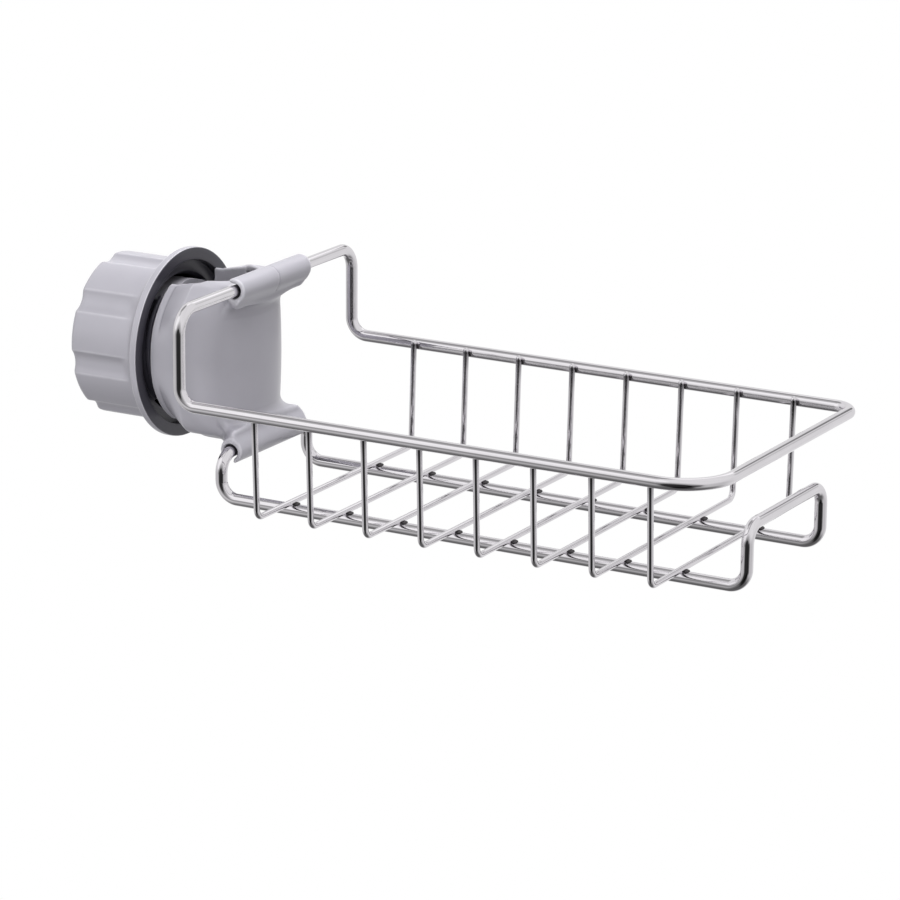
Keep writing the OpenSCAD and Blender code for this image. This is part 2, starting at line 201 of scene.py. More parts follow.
def grid_uv(along, around):
    """Corner coordinates for grid_faces: metres along the rows, and metres
    round the columns. Both lists have one more entry than there are faces."""
    a0, a1 = along[:-1][:, None], along[1:][:, None]
    b0, b1 = around[:-1][None, :], around[1:][None, :]
    a0, a1, b0, b1 = np.broadcast_arrays(a0, a1, b0, b1)
    return np.stack([a0, b0, a0, b1, a1, b1, a1, b0], -1).reshape(-1, 2) * MM


def unit_ball(rows, columns):
    """Points of a ball of radius 1, row by row: the cosine of the latitude times
    the cosine and the sine of the longitude, and the sine of the latitude. Its
    two poles come last."""
    lat = np.linspace(-np.pi / 2, np.pi / 2, rows + 2)[1:-1, None]
    lon = np.arange(columns)[None] / columns * 2 * np.pi
    ball = np.stack([np.cos(lat) * np.cos(lon), np.cos(lat) * np.sin(lon), np.sin(lat) + 0 * lon], -1)
    return np.r_[ball.reshape(-1, 3), [[0, 0, -1], [0, 0, 1]]]


def corner_arc(corner, before, after, radius, steps):
    """Points and directions of the arc of a radius that touches both lines at a
    corner: centre + radius (u cos a + v sin a), where u points from the centre
    to the arc's start and v along the first line."""
    back, ahead = before - corner, after - corner
    back, ahead = back / np.linalg.norm(back), ahead / np.linalg.norm(ahead)
    half = math.acos(float(np.clip(-back @ ahead, -1, 1))) / 2
    middle = (back + ahead) / np.linalg.norm(back + ahead)
    centre = corner + middle * radius / math.cos(half)
    start = corner + back * radius * math.tan(half)
    u, v = (start - centre) / radius, -back
    angle = np.linspace(0, 2 * half, steps)[:, None]
    return (centre + radius * (u * np.cos(angle) + v * np.sin(angle)),
            v * np.cos(angle) - u * np.sin(angle))


def wire_path(corner_points, radii, closed, straight_step=8.0, bend_steps=14):
    """Points and directions of a wire's centre line: straight lines between
    corners, and at each corner an arc of its radius. An open line starts and
    ends in its first and last corner."""
    p = np.array(corner_points, float)
    n = len(p)
    arcs = {i: corner_arc(p[i], p[i - 1], p[(i + 1) % n], radii[i], bend_steps)
            for i in (range(n) if closed else range(1, n - 1))}
    points, directions = [], []
    for i in range(n):
        if i in arcs:
            points.append(arcs[i][0])
            directions.append(arcs[i][1])
        elif i == 0:
            points.append(p[:1])
            directions.append((p[1:2] - p[:1]) / np.linalg.norm(p[1] - p[0]))
        if closed or i < n - 1:
            start = arcs[i][0][-1] if i in arcs else p[i]
            j = (i + 1) % n
            end = arcs[j][0][0] if j in arcs else p[j]
            length = np.linalg.norm(end - start)
            count = max(2, int(length / straight_step) + 1)
            t = np.linspace(0, 1, count + 1)[1:-1, None]
            points.append(start + (end - start) * t)
            directions.append(np.repeat((end - start)[None] / length, len(t), 0))
        else:
            points.append(p[-1:])
            directions.append((p[-1:] - p[-2:-1]) / np.linalg.norm(p[-1] - p[-2]))
    return np.concatenate(points), np.concatenate(directions)


def tube(name, points, directions, radii, sides, closed, welded=None):
    """Round wire: at each point of the path a circle of its radius, square to
    the direction. The circle is turned so that it starts nearest a fixed
    slanting line, which keeps the rows from twisting. Open ends close in a
    point on the axis. The last argument holds a painted shade from 0 to 1 for
    each point."""
    slant = np.array([0.5, 0.3, 0.8])
    first = slant - (directions @ slant)[:, None] * directions
    first /= np.linalg.norm(first, axis=1)[:, None]
    second = np.cross(directions, first)
    a = np.arange(sides) / sides * 2 * np.pi
    ring = first[:, None] * np.cos(a)[None, :, None] + second[:, None] * np.sin(a)[None, :, None]
    verts = (points[:, None] + ring * np.asarray(radii)[:, None, None]).reshape(-1, 3)
    rows = len(points)
    faces = [grid_faces(rows, sides, wrap_rows=closed)]
    steps = np.linalg.norm(np.roll(points, -1, 0) - points, axis=1)
    along = np.r_[0, np.cumsum(steps if closed else steps[:-1])]
    uv = grid_uv(along, np.arange(sides + 1) / sides * 2 * np.pi * max(radii))
    if not closed:
        verts = np.r_[verts, points[:1], points[-1:]]
        faces += closing_fans(rows, sides)
        uv = np.r_[uv, np.zeros((3 * sides, 2)), np.full((3 * sides, 2), along[-1] * MM)]
    marks = None
    if welded is not None:
        marks = {"welded": np.r_[np.repeat(welded, sides), welded[[0, -1]]]}
    return make_object(name, verts, faces, uv, marks)


def cut_cells(values, low, step):
    """One point for each grid cell that the surface crosses, and each cell's
    point number, or -1. A point is the mean of the places where the surface cuts
    the cell's edges, found from the values at their two ends."""
    inside = values < 0
    shape = np.array(values.shape) - 1
    total = np.zeros((*shape, 3))
    count = np.zeros(shape)
    for axis in range(3):
        others = [a for a in range(3) if a != axis]
        for du in (0, 1):
            for dv in (0, 1):
                cut = [slice(None, -1)] * 3
                cut[others[0]] = slice(du, du + shape[others[0]])
                cut[others[1]] = slice(dv, dv + shape[others[1]])
                far = list(cut)
                far[axis] = slice(1, None)
                near_value, far_value = values[tuple(cut)], values[tuple(far)]
                crossed = inside[tuple(cut)] != inside[tuple(far)]
                place = np.zeros((*shape, 3))
                place[..., others[0]], place[..., others[1]] = du, dv
                gap = np.where(crossed, near_value - far_value, 1)
                place[..., axis] = near_value / gap
                total += np.where(crossed[..., None], place, 0)
                count += crossed
    used = count > 0
    cell = np.argwhere(used)
    number = np.full(tuple(shape), -1)
    number[used] = np.arange(len(cell))
    return low + (cell + total[used] / count[used][:, None]) * step, number


def cut_line_faces(inside, number):
    """A four-sided face for each grid line that the surface cuts, through the
    points of the four cells round that line, wound to face outwards."""
    faces = []
    for axis in range(3):
        u, v = (axis + 1) % 3, (axis + 2) % 3
        near, far = [slice(None)] * 3, [slice(None)] * 3
        near[axis], far[axis] = slice(None, -1), slice(1, None)
        leaving = inside[tuple(near)] & ~inside[tuple(far)]
        entering = ~inside[tuple(near)] & inside[tuple(far)]
        for mask, order in ((leaving, (0, 1, 2, 3)), (entering, (3, 2, 1, 0))):
            at = np.argwhere(mask)
            quad = []
            for back_u, back_v in ((1, 1), (0, 1), (0, 0), (1, 0)):
                c = at.copy()
                c[:, u] -= back_u
                c[:, v] -= back_v
                quad.append(number[tuple(c.T)])
            faces.append(np.stack([quad[o] for o in order], 1))
    return faces


def settle(field, points, step, rounds=4, nudge=0.02):
    """The points after a few rounds of sliding down the field's slope onto the
    surface, each time by value times slope over the slope's squared length."""
    for _ in range(rounds):
        value = field(*points.T)
        slope = np.stack([(field(*(points + nudge * e).T) - field(*(points - nudge * e).T)) / (2 * nudge)
                          for e in np.eye(3)], 1)
        move = value[:, None] * slope / np.maximum((slope ** 2).sum(1), 0.2)[:, None]
        length = np.linalg.norm(move, axis=1)[:, None]
        points = points - move * np.minimum(1, 0.3 * step / np.maximum(length, 1e-9))
    return points


def surface_of(field, low, high, step):
    """Points and faces of the surface where field(x, y, z) is zero, from the
    field's values on a grid of that step."""
    axes = [np.arange(a, b + step, step) for a, b in zip(low, high)]
    values = field(*np.meshgrid(*axes, indexing="ij"))
    points, number = cut_cells(values, np.array(low), step)
    return settle(field, points, step), cut_line_faces(values < 0, number)


# The wires

def frame_wire(name, near_corners, bend_steps):
    """A closed loop of thick wire from its corners on the -Y side, mirrored to
    the +Y side. Each corner is a place, its bend, and its mirrored twin's."""
    near = [np.array(place, float) for place, _, _ in near_corners]
    route = near + [place * [1, -1, 1] for place in near[::-1]]
    bends = [bend for _, bend, _ in near_corners] + [twin for _, _, twin in near_corners[::-1]]
    points, directions = wire_path(route, bends, True, bend_steps=bend_steps)
    return tube(name, points, directions, np.full(len(points), FRAME_WIRE_R), 36, True)


def make_upper_frame():
    """The rim of the basket: two rails, the far end, and the raised clamp end."""
    return frame_wire("basket_frame_wire", [
        ([CLAMP_END_X, -RAIL_Y, UPPER_SLEEVE_Z], TOP_R, TOP_R),
        ([CLAMP_END_X, -RAIL_Y, RAIL_Z], FOOT_R, FOOT_R),
        ([FAR_END_X, -RAIL_Y, RAIL_Z], CORNER_R, PLUS_Y_CORNER_R)], 22)


def make_lower_frame():
    """Two runners under the basket, the towel bar, and the lower clamp end."""
    return frame_wire("towel_frame_wire", [
        ([LOWER_SLEEVE_X, -RUNNER_Y, LOWER_SLEEVE_Z], LOOP_R, LOOP_R),
        ([LOWER_SLEEVE_X, -RUNNER_Y, RUNNER_Z], LOOP_R, LOOP_R),
        ([BAR_X, -RUNNER_Y, RUNNER_Z], LOOP_R, LOOP_R),
        ([BAR_X, -RUNNER_Y, BAR_Z], LOOP_R, LOOP_R)], 20)


def cross_wire_place(index):
    """Where a cross wire stands along the basket, the height of its level
    stretch, and its highest corner."""
    low, high = corners("cross_wire_%d" % index)
    return (low[0] + high[0]) / 2, low[2] + CROSS_WIRE_R, high


def make_cross_wire(index):
    """One thin U of the basket. At its domed ends the radius follows a quarter
    ellipse: the square root of 1 less the dome's loss times the squared distance
    from the dome's inner ring. Its legs carry painted shade near the rails, which
    is two smooth steps toward the tip, less the tip itself."""
    x, floor_z, high = cross_wire_place(index)
    tip_y = high[1] - CROSS_WIRE_R
    route = [[x, -tip_y, high[2] - TIP_TRIM[0]], [x, LEG_LEAN - tip_y, floor_z],
             [x, tip_y - LEG_LEAN, floor_z], [x, tip_y, high[2] - TIP_TRIM[1]]]
    bends = [0, CROSS_R, CROSS_R, 0]
    points, directions = wire_path(route, bends, False, straight_step=1.5, bend_steps=12)
    dome = np.array(DOME)
    rings = len(dome)
    points = np.r_[points[:1] + directions[:1] * dome[:, None], points[1:-1],
                   points[-1:] - directions[-1:] * dome[::-1, None]]
    directions = np.r_[np.repeat(directions[:1], rings, 0), directions[1:-1],
                       np.repeat(directions[-1:], rings, 0)]
    radii = np.full(len(points), CROSS_WIRE_R)
    radii[:rings] = CROSS_WIRE_R * np.sqrt(1 - DOME_LOSS * (1 - dome) ** 2)
    radii[-rings:] = radii[rings - 1::-1]
    along = np.r_[0, np.cumsum(np.linalg.norm(np.diff(points, axis=0), axis=1))]
    from_tip = np.minimum(along, along[-1] - along)
    # Painted shade on the leg near the rail, taken off the very tip
    welded = 0.55 * smooth_step(*LONG_SHADE, from_tip) + 0.35 * smooth_step(*SHORT_SHADE, from_tip)
    welded = welded * smooth_step(*BRIGHT_TIP, from_tip)
    return tube("cross_wire_%d_round" % index, points, directions, radii, 24, False, welded)


def beads(name, centres, half_sizes, rows=9, columns=14):
    """Small ovals: at each centre a ball stretched to its three half sizes, with
    a shallow lumpiness that differs from bead to bead."""
    centres, half_sizes = np.array(centres, float), np.array(half_sizes, float)
    ball = unit_ball(rows, columns)
    number = np.arange(len(centres))
    lump = 1 + 0.07 * np.sin(3.1 * number[:, None] + 4 * ball[:, 0] + 3 * ball[:, 2])
    points = centres[:, None] + ball[None] * half_sizes[:, None] * lump[..., None]
    faces = [part + bead * len(ball) for bead in number for part in closed_faces(rows, columns)]
    return make_object(name, points.reshape(-1, 3), faces)


def weld_places():
    """Where the cross wires touch the rails and the runners, and how large the
    weld fillets there are: two at each rail crossing, one each side of the leg,
    and two at each runner crossing, the larger on the side away from the clamp."""
    rail, runner = [], []
    for index in CROSS_WIRES:
        x, floor_z, high = cross_wire_place(index)
        for side in (-1, 1):
            for step in (-1, 1):
                rail.append(([x + step * RAIL_BEAD_OFF, side * (high[1] + RAIL_BEAD_PROUD),
                              RAIL_Z - RAIL_BEAD_DROP], RAIL_BEAD))
                size = 1 + RUNNER_BEAD_SKEW * step
                runner.append(([x + step * (RUNNER_BEAD_OFF + 0.25 * size), side * RUNNER_Y,
                                floor_z - CROSS_WIRE_R + RUNNER_BEAD_LIFT],
                               [half * size for half in RUNNER_BEAD]))
    return rail, runner


# The clamp body

def rounded_square(y, z, half_w, half_h, middle_z, radius):
    """Distance to a rectangle with rounded corners."""
    qy, qz = abs(y) - half_w + radius, abs(z - middle_z) - half_h + radius
    return np.hypot(np.maximum(qy, 0), np.maximum(qz, 0)) + np.minimum(np.maximum(qy, qz), 0) - radius


def thread_height(phase):
    """0 between two ridges and 1 on a ridge, with straight flanks. The phase
    runs over one lead and is 0 on the crest."""
    away = abs((phase + LEAD / 2) % LEAD - LEAD / 2)
    return np.clip((RIDGE_ROOT_W / 2 - away) / ((RIDGE_ROOT_W - RIDGE_CREST_W) / 2), 0, 1)


def shell_field(x, y, z):
    """The body's outer form. Its section changes evenly along x from a circle to
    a square with rounded lower and bevelled upper corners, which reaches up and
    down to the sleeves. An upright cylinder cuts its front, which curves back
    with the square of the height."""
    top = max(UPPER_SLEEVE_Z - SLEEVE_R + 2, SHELL_R - 2)
    bottom = min(LOWER_SLEEVE_Z + SLEEVE_R - 1, 1 - SHELL_R)
    middle, half_h = (top + bottom) / 2, (top - bottom) / 2
    round_end = np.hypot(y, z) - SHELL_R
    square = rounded_square(y, z, PANEL_HALF_W, half_h, middle, PANEL_CORNER_R)
    bevel = (abs(y) + z) / math.sqrt(2) - BEVEL_AT
    bevelled = rounded_square(y, z, PANEL_HALF_W, half_h, middle, BEVEL_CORNER_R)
    square = np.where(z > middle, soft_max(bevelled, bevel, 1.0), square)
    share = np.clip((x + SHOULDER_X - SHOULDER_L) / (SHOULDER_X - SHOULDER_L), 0, 1)
    section = round_end * (1 - share) + square * share
    crown = FRONT_CROWN * ((z - middle) / half_h) ** 2
    front = np.hypot(x - FRONT_X + FRONT_R, y) - FRONT_R + crown
    return soft_max(soft_max(section, front, FRONT_EDGE), -SHOULDER_X - x, 0.9)


def add_sleeves(body, x, y, z):
    """The field with two round sleeves, each on a flat web that widens toward
    it, and a fine bell-shaped groove sunk round the upper sleeve."""
    for sx, sz, web_low, web_high, _ in SLEEVES:
        flare = smooth_step(sx - WEB_FLARE_L, sx + 0.5, x)
        level = abs(z - sz - (web_low + web_high) / 2) - (web_high - web_low) / 2
        web = soft_max(abs(y) - WEB_HALF_W - WEB_FLARE * flare, level, 2.0)
        web = soft_max(soft_max(web, x - sx - 1, 1.0), sx - WEB_L - x, 1.0)
        body = soft_min(body, web, WEB_FILLET)
        sleeve = soft_max(np.hypot(x - sx, z - sz) - SLEEVE_R, abs(y) - SLEEVE_HALF_L, 0.8)
        body = soft_min(body, sleeve, SLEEVE_FILLET)
    off_axis = np.hypot(x - CLAMP_END_X, z - UPPER_SLEEVE_Z)
    on_sleeve = smooth_step(SLEEVE_R + 1.2, SLEEVE_R + 0.3, off_axis)
    return body + on_sleeve * SEAM_DEPTH * np.exp(-((y - SEAM_Y) / SEAM_W) ** 2)


def add_arms(body, x, y, z):
    """The field with a threaded stub that reaches back into the knob. The
    passage parts it into two arms."""
    radius, turn = np.hypot(y, z), np.arctan2(z, y)
    ridge = thread_height(x - THREAD_START_X - LEAD * turn / (2 * np.pi))
    arms = radius - CORE_R - (CREST_R - CORE_R) * ridge
    arms = soft_max(soft_max(arms, x + SHOULDER_X - 1, 0.6), body_low[0] - x, 0.9)
    return soft_min(body, arms, 0.6)


def cut_passages(body, x, y, z):
    """The field less the upright passage, which is round in front and open
    toward the knob, the liner's seat, and each sleeve's bore, which widens at
    both mouths, with its snap slot."""
    passage = np.hypot(np.maximum(x, 0), y) - PASSAGE_R
    body = soft_max(body, -passage, 0.9)
    seat = np.maximum(np.hypot(x, y) - SEAT_R, abs(z) - SEAT_HALF_H)
    past_end = abs(np.arctan2(y, x)) * PASSAGE_R - math.radians(SEAT_HALF_ANGLE) * PASSAGE_R
    body = soft_max(body, -np.maximum(seat, past_end), 0.5)
    for sx, sz, _, _, angle in SLEEVES:
        mouth = np.clip(abs(y) - SLEEVE_HALF_L + BORE_FLARE_L, 0, 3) * BORE_FLARE
        bore = np.hypot(x - sx, z - sz) - SLEEVE_BORE_R - mouth
        c, s = math.cos(math.radians(angle)), math.sin(math.radians(angle))
        along, across = (x - sx) * c + (z - sz) * s, -(x - sx) * s + (z - sz) * c
        beside = np.maximum(abs(across) - SNAP_SLOT_HALF_W, -along)
        slot = np.maximum(beside, along - 2 * SLEEVE_R)
        body = soft_max(body, -soft_min(bore, slot, 0.5), 0.7)
    return body


def body_field(x, y, z):
    """Signed field of the clamp body, below zero inside it: the shell, with the
    sleeves and the arms blended on and the passages cut out."""
    solid = add_arms(add_sleeves(shell_field(x, y, z), x, y, z), x, y, z)
    return cut_passages(solid, x, y, z)


def make_clamp_body():
    """The zero surface of the body's field. The threaded arms behind its round
    end and the bores of the sleeves are marked as its inside, which gets painted
    shade. Edges and hollows are marked by the field's Laplacian, the sum of its
    values a nudge away on all six sides less six times its own, which is its
    curvature: high on edges and below zero in fillets. The edges get a painted
    highlight and the hollows painted shade."""
    margin, step, nudge = 1.5, 0.6, 0.4
    points, faces = surface_of(body_field, body_low - margin, body_high + margin, step)
    x, y, z = points.T
    # Painted shade on the arms and in the sleeve bores
    arms = smooth_step(SHELL_R - 0.6, SHELL_R - 1.4, np.hypot(y, z))
    inside = arms * smooth_step(0.2 - SHOULDER_X, -0.2 - SHOULDER_X, x)
    for sx, sz, *_ in SLEEVES:
        bore = smooth_step(SLEEVE_BORE_R + 0.9, SLEEVE_BORE_R + 0.3, np.hypot(x - sx, z - sz))
        bore = 0.8 * bore * smooth_step(SLEEVE_HALF_L, SLEEVE_HALF_L - 0.5, abs(y))
        inside = np.maximum(inside, bore)
    bend = sum(body_field(*(points + side * nudge * e).T) for e in np.eye(3) for side in (-1, 1))
    bend = (bend - 6 * body_field(x, y, z)) / nudge ** 2
    # Edges get a painted highlight, hollows painted shade
    return make_object("clamp_body_moulding", points, faces, attributes={
        "inside": inside, "edge": smooth_step(0.35, 1.3, bend), "hollow": smooth_step(-0.06, -0.5, bend)})


# The knob

def lobed_radius(angle):
    """Radius of the grip round its axis: a circle with round hollows cut into
    it, softened where hollow and lobe meet."""
    pitch = 2 * np.pi / LOBES
    off = (angle + pitch / 2) % pitch - pitch / 2
    centre = GRIP_R + FLUTE_R - FLUTE_DEPTH
    reach = FLUTE_R ** 2 - (centre * np.sin(off)) ** 2
    hollow = np.where(reach > 0, centre * np.cos(off) - np.sqrt(np.maximum(reach, 0)), GRIP_R + 5)
    return soft_min(np.full_like(angle, GRIP_R), hollow, 0.4)


def curvature(a, b):
    """Turn per length of a plane line through the points (a, b), positive where
    it turns right, and 0 at both ends."""
    step_a, step_b = np.diff(a), np.diff(b)
    length = np.maximum(np.hypot(step_a, step_b), 1e-6)
    heading = np.unwrap(np.arctan2(step_b, step_a))
    turn = -np.diff(heading) / (0.5 * (length[1:] + length[:-1]))
    return np.r_[0, turn, 0]


def knob_profile():
    """Places along the axis and radii of the knob's turned profile, without its
    two ends on the axis: straight lines through the corners, with an arc of its
    bend at each. It runs from the middle of the back over the lobed grip, the
    flare, the rim and the mouth, down the threaded bore, and round the boss to
    the bottom of the pin bore."""
    boss_end, snap_end = KNOB_FLOOR + BOSS_L, KNOB_FLOOR + SNAP_L
    # Each corner is its place along the axis, its radius and its bend
    corner_list = [
        (KNOB_BACK + DISH_DEPTH, 0, 0), (KNOB_BACK + DISH_DEPTH, DISH_R, 1.2),
        (KNOB_BACK, DISH_RIM_R, 1.2), (KNOB_BACK, GRIP_R, 1.6), (FLARE_BACK - 1, GRIP_R, 3.0),
        (RIM_BACK, RIM_R - 1.6, 0.3), (RIM_BACK, RIM_R, 0.45), (KNOB_FRONT, RIM_R, 0.45),
        (KNOB_FRONT, MOUTH_R, 0.4), (RECESS_X, MOUTH_R, 0.3), (RECESS_X, BORE_R, 0.4),
        (KNOB_FLOOR, BORE_R, 1.0), (KNOB_FLOOR, BOSS_R, 1.0), (boss_end, BOSS_R, 0.5),
        (boss_end, PIN_BORE_R, 0.4), (snap_end, PIN_BORE_R, 0.2), (snap_end, SNAP_R, 0.2),
        (KNOB_FLOOR, SNAP_R, 0.2), (KNOB_FLOOR, 0, 0)]
    line = [(x, r, 0) for x, r, _ in corner_list]
    bends = [bend for _, _, bend in corner_list]
    path, _ = wire_path(line, bends, False, straight_step=1.0, bend_steps=5)
    return path[1:-1, 0], path[1:-1, 1]


def make_knob():
    """The knob: its profile turned round the axis, less the dents between the
    lobes, which fade out before the flare and on the back, and less the thread
    ridge that winds inside the bore. Angles start straight up and run toward the
    -Y side. Its mouth, from the inner edge of its front face down to the bore,
    is marked as its inside and gets painted shade, and sharp bends along the
    profile or round the lobes are marked as edges, which get a painted highlight."""
    x, r = knob_profile()
    sides = 448
    angle = np.arange(sides) / sides * 2 * np.pi
    order, rim = np.arange(len(x)), np.argmax(r)
    on_grip = (order < rim) & (r > LOBED_FROM_R)
    lobe = np.where(on_grip, smooth_step(FLARE_BACK - 0.6, FLARE_BACK - 4.5, x), 0)
    lobe = lobe * np.where(on_grip, smooth_step(LOBED_FROM_R, GRIP_R - 1.5, r), 0)
    dent = GRIP_R - lobed_radius(angle + math.radians(LOBE_TURN) - math.pi / LOBES)
    y, z = -np.sin(angle), np.cos(angle)
    phase = x[:, None] - THREAD_START_X - LEAD / 2 - LEAD * np.arctan2(z, y)[None, :] / (2 * np.pi)
    in_bore = (order > rim) & (abs(r - BORE_R) < 0.01)
    run_out = smooth_step(KNOB_FLOOR + 3.5, KNOB_FLOOR + 5.5, x)
    run_out = run_out * smooth_step(RECESS_X - 0.4, RECESS_X - 2.0, x)
    grid_r = r[:, None] - lobe[:, None] * dent[None, :]
    grid_r = grid_r - (in_bore * run_out)[:, None] * thread_height(phase) * (BORE_R - CORE_R - 0.4)
    grid = np.stack([np.repeat(x[:, None], sides, 1), grid_r * y, grid_r * z], -1)
    verts = np.r_[grid.reshape(-1, 3), [[KNOB_BACK + DISH_DEPTH, 0, 0], [KNOB_FLOOR, 0, 0]]]

    # Painted shade on the mouth and everything inside it
    inside = smooth_step(rim + 3.0, rim + 5.0, order)
    # Sharp bends get a painted highlight
    across = smooth_step(0.5, 2.0, curvature(x, r))
    radius = GRIP_R - dent
    around = smooth_step(0.3, 1.2, curvature(radius * np.sin(angle), radius * np.cos(angle)))
    edge = np.maximum(across[:, None], lobe[:, None] * around[None, :])
    return make_object("lobed_knob", verts, closed_faces(len(x), sides), attributes={
        "inside": np.r_[np.repeat(inside, sides), 0, 1], "edge": np.r_[edge.ravel(), 0, 0]})


# The rubber pads

def make_pad(name, low, high, half_angle, about):
    """A curved pad on the wall of the passage. Its section, in radius and height,
    is a thin rectangle with rounded corners whose inner side has soft ribs, one
    cosine each. The section is carried round the passage's axis by half_angle
    to both sides of about, in degrees, and drawn in a little at both ends."""
    half_h, outer_r = (high[2] - low[2]) / 2, SEAT_R - 0.1
    z = np.linspace(-half_h + PAD_EDGE, half_h - PAD_EDGE, int(half_h * 2 / RIB_PITCH) * 8 + 1)
    inner = CLAMP_R + RIB_DEPTH * (0.5 - 0.5 * np.cos(2 * np.pi * z / RIB_PITCH))
    corner = np.linspace(0, np.pi / 2, 5)[1:-1]
    rise, fall = PAD_EDGE * np.sin(corner), PAD_EDGE * np.cos(corner)
    edge_r, edge_h = outer_r - PAD_EDGE, half_h - PAD_EDGE
    radius = np.r_[inner, edge_r, edge_r + rise, np.full(9, outer_r), edge_r + fall, edge_r]
    height = np.r_[z, half_h, edge_h + fall, np.linspace(edge_h, -edge_h, 9), -edge_h - rise, -half_h]
    middle_r = (CLAMP_R + outer_r) / 2
    t = np.linspace(-1, 1, 61)
    angle = math.radians(about) + t * math.radians(half_angle)
    at_end = smooth_step(0.985, 1.0, abs(t))[:, None]
    rr = middle_r + (radius[None] - middle_r) * (1 - 0.25 * at_end)
    zz = height[None] * (1 - 0.012 * at_end)
    grid = np.stack([rr * np.cos(angle)[:, None], rr * np.sin(angle)[:, None], zz], -1)
    ends = grid.mean(1)[[0, -1]] * [1, 1, 0]
    return make_object(name, np.r_[grid.reshape(-1, 3), ends], closed_faces(*grid.shape[:2]))


# Materials

class Signal:
    """A socket of a node tree. Arithmetic on it adds Math nodes."""

    def __init__(self, tree, socket):
        self.tree, self.socket = tree, socket

    def math(self, operation, a, b):
        node = self.tree.nodes.new("ShaderNodeMath")
        node.operation = operation
        for slot, value in zip(node.inputs, (a, b)):
            plug(self.tree, slot, value)
        return Signal(self.tree, node.outputs[0])

    def __add__(self, other):
        return self.math("ADD", self, other)

    def __sub__(self, other):
        return self.math("SUBTRACT", self, other)

    def __rsub__(self, other):
        return self.math("SUBTRACT", other, self)

    def __mul__(self, other):
        return self.math("MULTIPLY", self, other)

    __radd__, __rmul__ = __add__, __mul__


def plug(tree, slot, value):
    """Links a signal into a socket, or sets the socket to a constant."""
    if isinstance(value, Signal):
        tree.links.new(value.socket, slot)
    else:
        slot.default_value = value


class Finish:
    """The nodes of a material, or of the world, under construction. add makes
    any node from its type, its settings and its sockets, and returns one of its
    outputs."""

    def __init__(self, owner):
        self.owner = owner
        owner.use_nodes = True
        self.tree = owner.node_tree
        self.tree.nodes.clear()

    def add(self, kind, settings=None, sockets=None, output=0):
        node = self.tree.nodes.new(kind)
        for key, value in (settings or {}).items():
            setattr(node, key, value)
        for key, value in (sockets or {}).items():
            plug(self.tree, node.inputs[key], value)
        return Signal(self.tree, node.outputs[output]) if len(node.outputs) else None

    def place(self):
        """The place on the object, in metres."""
        return self.add("ShaderNodeTexCoord", output="Object")

    def mark(self, name):
        """A mark from 0 to 1 that the mesh carries."""
        return self.add("ShaderNodeAttribute", {"attribute_name": name}, output="Fac")

    def noise(self, coordinates, scale, detail, roughness=0.5, stretch=(1, 1, 1)):
        """Noise from 0 to 1 on the given coordinates, stretched along them."""
        placed = self.add("ShaderNodeMapping", None, {"Vector": coordinates, "Scale": stretch})
        return self.add("ShaderNodeTexNoise", None,
                        {"Vector": placed, "Scale": scale, "Detail": detail, "Roughness": roughness})

    def tint(self, factor, low, high):
        """A colour between low and high, each a colour or a signal."""
        low, high = (end if isinstance(end, Signal) else (*end, 1) for end in (low, high))
        return self.add("ShaderNodeMix", {"data_type": "RGBA"},
                        {"Factor": factor, "A": low, "B": high}, output="Result")

    def finish(self, varying, constants, bump):
        """The surface: varying sockets, constant sockets, and a bump's height,
        strength and distance."""
        height, strength, distance = bump
        normal = self.add("ShaderNodeBump", None,
                          {"Height": height, "Strength": strength, "Distance": distance})
        shader = self.add("ShaderNodeBsdfPrincipled", None, {**constants, **varying, "Normal": normal})
        self.add("ShaderNodeOutputMaterial", None, {"Surface": shader})
        return self.owner


def new_finish(name):
    """The nodes of a new material of that name."""
    return Finish(bpy.data.materials.new(name))


# Colours from the darkest to the palest of each finish, and the colours of what
# the meshes mark: painted shade on insides and in hollows, a painted highlight
# on edges, and painted shade on the wire legs near the rails
BODY_GREY = (0.315, 0.307, 0.342), (0.375, 0.366, 0.405)
KNOB_GREY = (0.325, 0.317, 0.352), (0.385, 0.376, 0.415)
PLATE = (0.690, 0.669, 0.698), (0.934, 0.910, 0.942)
# The weld beads are darkened as painted shade beside each crossing
WELD_PAINTED_SHADE = (0.055, 0.051, 0.054), (0.20, 0.19, 0.197)
RUBBER = (0.022, 0.022, 0.024), (0.06, 0.06, 0.063)
PAINTED_SHADE, PAINTED_EDGE_HIGHLIGHT, LEG_PAINTED_SHADE = (0.040, 0.038, 0.050), (0.68, 0.67, 0.71), (0.072, 0.066, 0.073)


def moulded_plastic(name, greys, gloss):
    """Metallic-grey moulded plastic: a fine even grain in the bump, a slow
    change of tone, and gloss that varies a little, as on a rubbed moulding. The
    mesh marks its edges, which get a painted highlight, and its hollows and its
    inside, which get painted shade."""
    m = new_finish(name)
    place = m.place()
    tone = m.noise(place, 38, 2.0)
    grain = m.noise(place, 2600, 2.0, 0.6)
    rubbed = m.noise(place, 190, 4.0, 0.65)
    colour = m.tint(tone * 0.7 + rubbed * 0.3, *greys)
    # Painted highlight along the edges
    colour = m.tint(m.mark("edge") * (0.2 + rubbed * 0.4), colour, PAINTED_EDGE_HIGHLIGHT)
    # Painted shade in the hollows, and in full on the inside
    colour = m.tint(m.mark("hollow") * 0.35, colour, PAINTED_SHADE)
    colour = m.tint(m.mark("inside"), colour, PAINTED_SHADE)
    return m.finish({"Base Color": colour, "Roughness": gloss - 0.05 + rubbed * 0.1},
                    {"Metallic": 0.2, "Coat Weight": 0.1, "Coat Roughness": 0.3},
                    (grain * 0.7 + rubbed * 0.3, 0.12, 0.00006))


